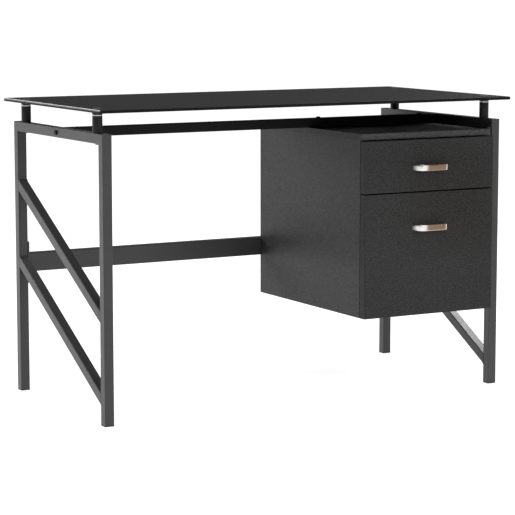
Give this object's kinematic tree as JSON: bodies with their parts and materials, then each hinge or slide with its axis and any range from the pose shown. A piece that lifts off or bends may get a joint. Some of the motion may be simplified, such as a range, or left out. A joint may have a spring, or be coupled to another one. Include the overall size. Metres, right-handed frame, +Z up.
{
  "type": "glass-top desk with hung two-drawer cabinet",
  "caption": "Writing desk: black glass top on standoffs over two square-tube side frames with parallel diagonal braces, and a hung cabinet with two pull-out drawers.",
  "frame": {"origin": "on the floor, at the middle of the whole object's footprint, drawer handles included", "axes": "+Z up, +X along the desk to the right of the person who sits at it, -Y towards that person"},
  "size_m": [1.2, 0.625, 0.776],
  "materials": {
    "frame_steel": "satin graphite powder coat",
    "bar_steel": "satin black powder coat",
    "glide_plastic": "moulded matt black",
    "black_glass": "tempered glass, painted black on the underside, polished edges",
    "standoff_black": "satin black",
    "pad_metal": "satin turned",
    "black_fastener": "black oxide",
    "zinc_steel": "bright zinc plate",
    "cabinet_board": "matt graphite laminate on board",
    "front_board": "matt charcoal laminate on board, fine grain",
    "drawer_board": "matt grey laminate on board",
    "dowel_wood": "bare beech",
    "handle_nickel": "satin nickel"
  },
  "bodies": {
    "desk": {"bar_bolts": "black_fastener", "bar_nut_blocks": "zinc_steel", "cabinet_back": "cabinet_board", "cabinet_bottom": "cabinet_board", "cabinet_dowels": "dowel_wood", "cabinet_hanging_bolts": "black_fastener", "cabinet_rear_bolts": "black_fastener", "cabinet_side_left": "cabinet_board", "cabinet_side_right": "cabinet_board", "cabinet_spacer": "cabinet_board", "cabinet_top": "cabinet_board", "glass_pad_front_left": "pad_metal", "glass_pad_front_right": "pad_metal", "glass_pad_rear_left": "pad_metal", "glass_pad_rear_right": "pad_metal", "glass_top": "black_glass", "left_front_leg": "frame_steel", "left_lower_brace": "frame_steel", "left_rear_leg": "frame_steel", "left_top_rail": "frame_steel", "left_upper_brace": "frame_steel", "leg_glides": "glide_plastic", "lower_cabinet_runner_left": "zinc_steel", "lower_cabinet_runner_right": "zinc_steel", "lower_stretcher": "frame_steel", "right_front_leg": "frame_steel", "right_lower_brace": "frame_steel", "right_rear_leg": "frame_steel", "right_top_rail": "frame_steel", "right_upper_brace": "frame_steel", "standoff_bolts": "black_fastener", "standoff_front_left": "standoff_black", "standoff_front_right": "standoff_black", "standoff_rear_left": "standoff_black", "standoff_rear_right": "standoff_black", "stretcher_bolts": "black_fastener", "stretcher_plates": "frame_steel", "upper_bar": "bar_steel", "upper_cabinet_runner_left": "zinc_steel", "upper_cabinet_runner_right": "zinc_steel"},
    "upper_drawer": {"upper_drawer_back": "drawer_board", "upper_drawer_floor": "drawer_board", "upper_drawer_front": "front_board", "upper_drawer_runner_left": "zinc_steel", "upper_drawer_runner_right": "zinc_steel", "upper_drawer_side_left": "drawer_board", "upper_drawer_side_right": "drawer_board", "upper_handle": "handle_nickel", "upper_handle_screws": "zinc_steel"},
    "lower_drawer": {"file_rail_left": "zinc_steel", "file_rail_right": "zinc_steel", "lower_drawer_back": "drawer_board", "lower_drawer_floor": "drawer_board", "lower_drawer_front": "front_board", "lower_drawer_runner_left": "zinc_steel", "lower_drawer_runner_right": "zinc_steel", "lower_drawer_side_left": "drawer_board", "lower_drawer_side_right": "drawer_board", "lower_handle": "handle_nickel", "lower_handle_screws": "zinc_steel"}
  },
  "joints": [
    {"name": "upper_drawer_slide", "type": "slide", "parent": "desk", "child": "upper_drawer", "axis": [0, -1, 0], "range_m": [0, 0.375]},
    {"name": "lower_drawer_slide", "type": "slide", "parent": "desk", "child": "lower_drawer", "axis": [0, -1, 0], "range_m": [0, 0.375]}
  ]
}
